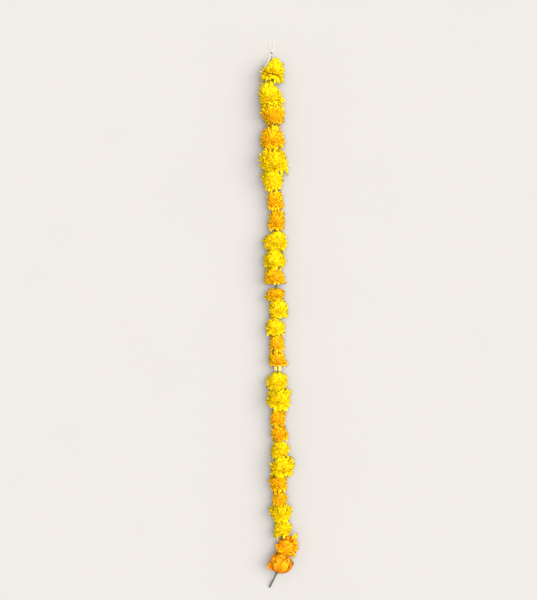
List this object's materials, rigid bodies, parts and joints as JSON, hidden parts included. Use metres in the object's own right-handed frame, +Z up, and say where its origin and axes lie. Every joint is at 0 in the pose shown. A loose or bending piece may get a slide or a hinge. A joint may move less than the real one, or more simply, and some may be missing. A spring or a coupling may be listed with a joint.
{
  "type": "marigold garland",
  "caption": "Straight strand of yellow and orange marigold blooms threaded on a string with a hanging loop, laid out flat.",
  "frame": {"origin": "on the surface that the garland lies on, under the middle of its bounding box, measured without the free threads", "axes": "+Y along the string from the cut stem towards the hanging loop, +X to the right of it, +Z up from the surface"},
  "size_m": [0.059, 1.0396, 0.0437],
  "materials": {
    "yellow_petals": "soft matte petals, bright yellow",
    "orange_petals": "soft matte petals, warm orange",
    "green_calyx": "matte grey-green calyx and stem",
    "thread": "pale undyed cotton thread"
  },
  "bodies": {
    "root": {"bloom_01": "yellow_petals", "calyx_01": "green_calyx", "bloom_02": "yellow_petals", "calyx_02": "green_calyx", "bloom_03": "orange_petals", "calyx_03": "green_calyx", "bloom_04": "orange_petals", "calyx_04": "green_calyx", "bloom_05": "yellow_petals", "calyx_05": "green_calyx", "bloom_06": "yellow_petals", "calyx_06": "green_calyx", "bloom_07": "orange_petals", "calyx_07": "green_calyx", "bloom_08": "orange_petals", "calyx_08": "green_calyx", "bloom_09": "yellow_petals", "calyx_09": "green_calyx", "bloom_10": "yellow_petals", "calyx_10": "green_calyx", "bloom_11": "orange_petals", "calyx_11": "green_calyx", "bloom_12": "orange_petals", "calyx_12": "green_calyx", "bloom_13": "yellow_petals", "calyx_13": "green_calyx", "bloom_14": "yellow_petals", "calyx_14": "green_calyx", "bloom_15": "orange_petals", "calyx_15": "green_calyx", "bloom_16": "orange_petals", "calyx_16": "green_calyx", "bloom_17": "yellow_petals", "calyx_17": "green_calyx", "bloom_18": "yellow_petals", "calyx_18": "green_calyx", "bloom_19": "orange_petals", "calyx_19": "green_calyx", "bloom_20": "orange_petals", "calyx_20": "green_calyx", "bloom_21": "yellow_petals", "calyx_21": "green_calyx", "bloom_22": "yellow_petals", "calyx_22": "green_calyx", "bloom_23": "orange_petals", "calyx_23": "green_calyx", "bloom_24": "orange_petals", "calyx_24": "green_calyx", "bloom_25": "yellow_petals", "calyx_25": "green_calyx", "bloom_26": "yellow_petals", "calyx_26": "green_calyx", "bloom_27": "orange_petals", "calyx_27": "green_calyx", "bloom_28": "orange_petals", "calyx_28": "green_calyx", "string": "thread", "hanging_loop": "thread", "knot": "thread", "thread_tail": "thread"}
  },
  "joints": []
}
